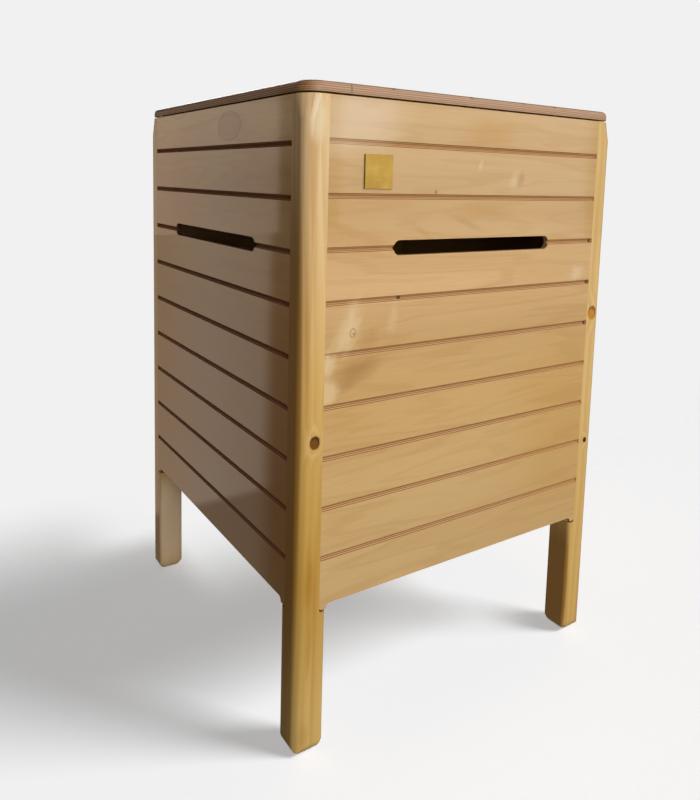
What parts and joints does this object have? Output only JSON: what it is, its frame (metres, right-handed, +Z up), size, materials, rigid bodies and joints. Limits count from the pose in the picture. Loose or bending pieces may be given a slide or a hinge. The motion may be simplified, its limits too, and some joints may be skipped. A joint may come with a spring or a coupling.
{
  "type": "lidded wooden box on legs",
  "caption": "Square wooden keeper on legs, grooved plywood panels, two with a vent slot, corner posts with rounded feet and a thin lid hinged along the back.",
  "frame": {"origin": "on the floor, at the middle of the outline's width and depth", "axes": "+Z up from the floor to the lid, -Y towards the front with the bare plate, +X to the right of a person who faces the front"},
  "size_m": [0.338, 0.3514, 0.5251],
  "materials": {
    "pine_post": "clear gloss varnish over yellow pine, small knots",
    "birch_plywood_panel": "clear satin varnish over birch-faced plywood, brown V grooves",
    "birch_plywood_floor": "bare sanded birch plywood",
    "birch_plywood_lid": "clear satin varnish, plies showing brown along the edge",
    "pine_batten": "planed bare pine",
    "brass_hinge": "pressed brass, dulled",
    "brass_screw": "turned brass, dulled",
    "brass_plate": "thin plate with a dulled golden face and softened edges",
    "felt_pad": "pressed brown felt"
  },
  "bodies": {
    "carcass": {"post_front_left": "pine_post", "post_front_right": "pine_post", "post_back_left": "pine_post", "post_back_right": "pine_post", "panel_front": "birch_plywood_panel", "panel_back": "birch_plywood_panel", "panel_left": "birch_plywood_panel", "panel_right": "birch_plywood_panel", "floor_panel": "birch_plywood_floor", "cleat_front": "pine_batten", "cleat_back": "pine_batten", "cleat_left": "pine_batten", "cleat_right": "pine_batten", "hinge_rail": "pine_batten", "hinge_left_box_leaf": "brass_hinge", "hinge_left_pin": "brass_hinge", "hinge_right_box_leaf": "brass_hinge", "hinge_right_pin": "brass_hinge", "hinge_box_screws": "brass_screw", "name_plate": "brass_plate", "lid_bumpers": "felt_pad"},
    "lid": {"lid_board": "birch_plywood_lid", "hinge_left_lid_leaf": "brass_hinge", "hinge_right_lid_leaf": "brass_hinge", "hinge_lid_screws": "brass_screw"}
  },
  "joints": [
    {"name": "lid_hinge", "type": "hinge", "parent": "carcass", "child": "lid", "pos_m": [0, 0.1734, 0.5158], "axis": [-1, 0, 0], "range_deg": [0, 210]}
  ]
}
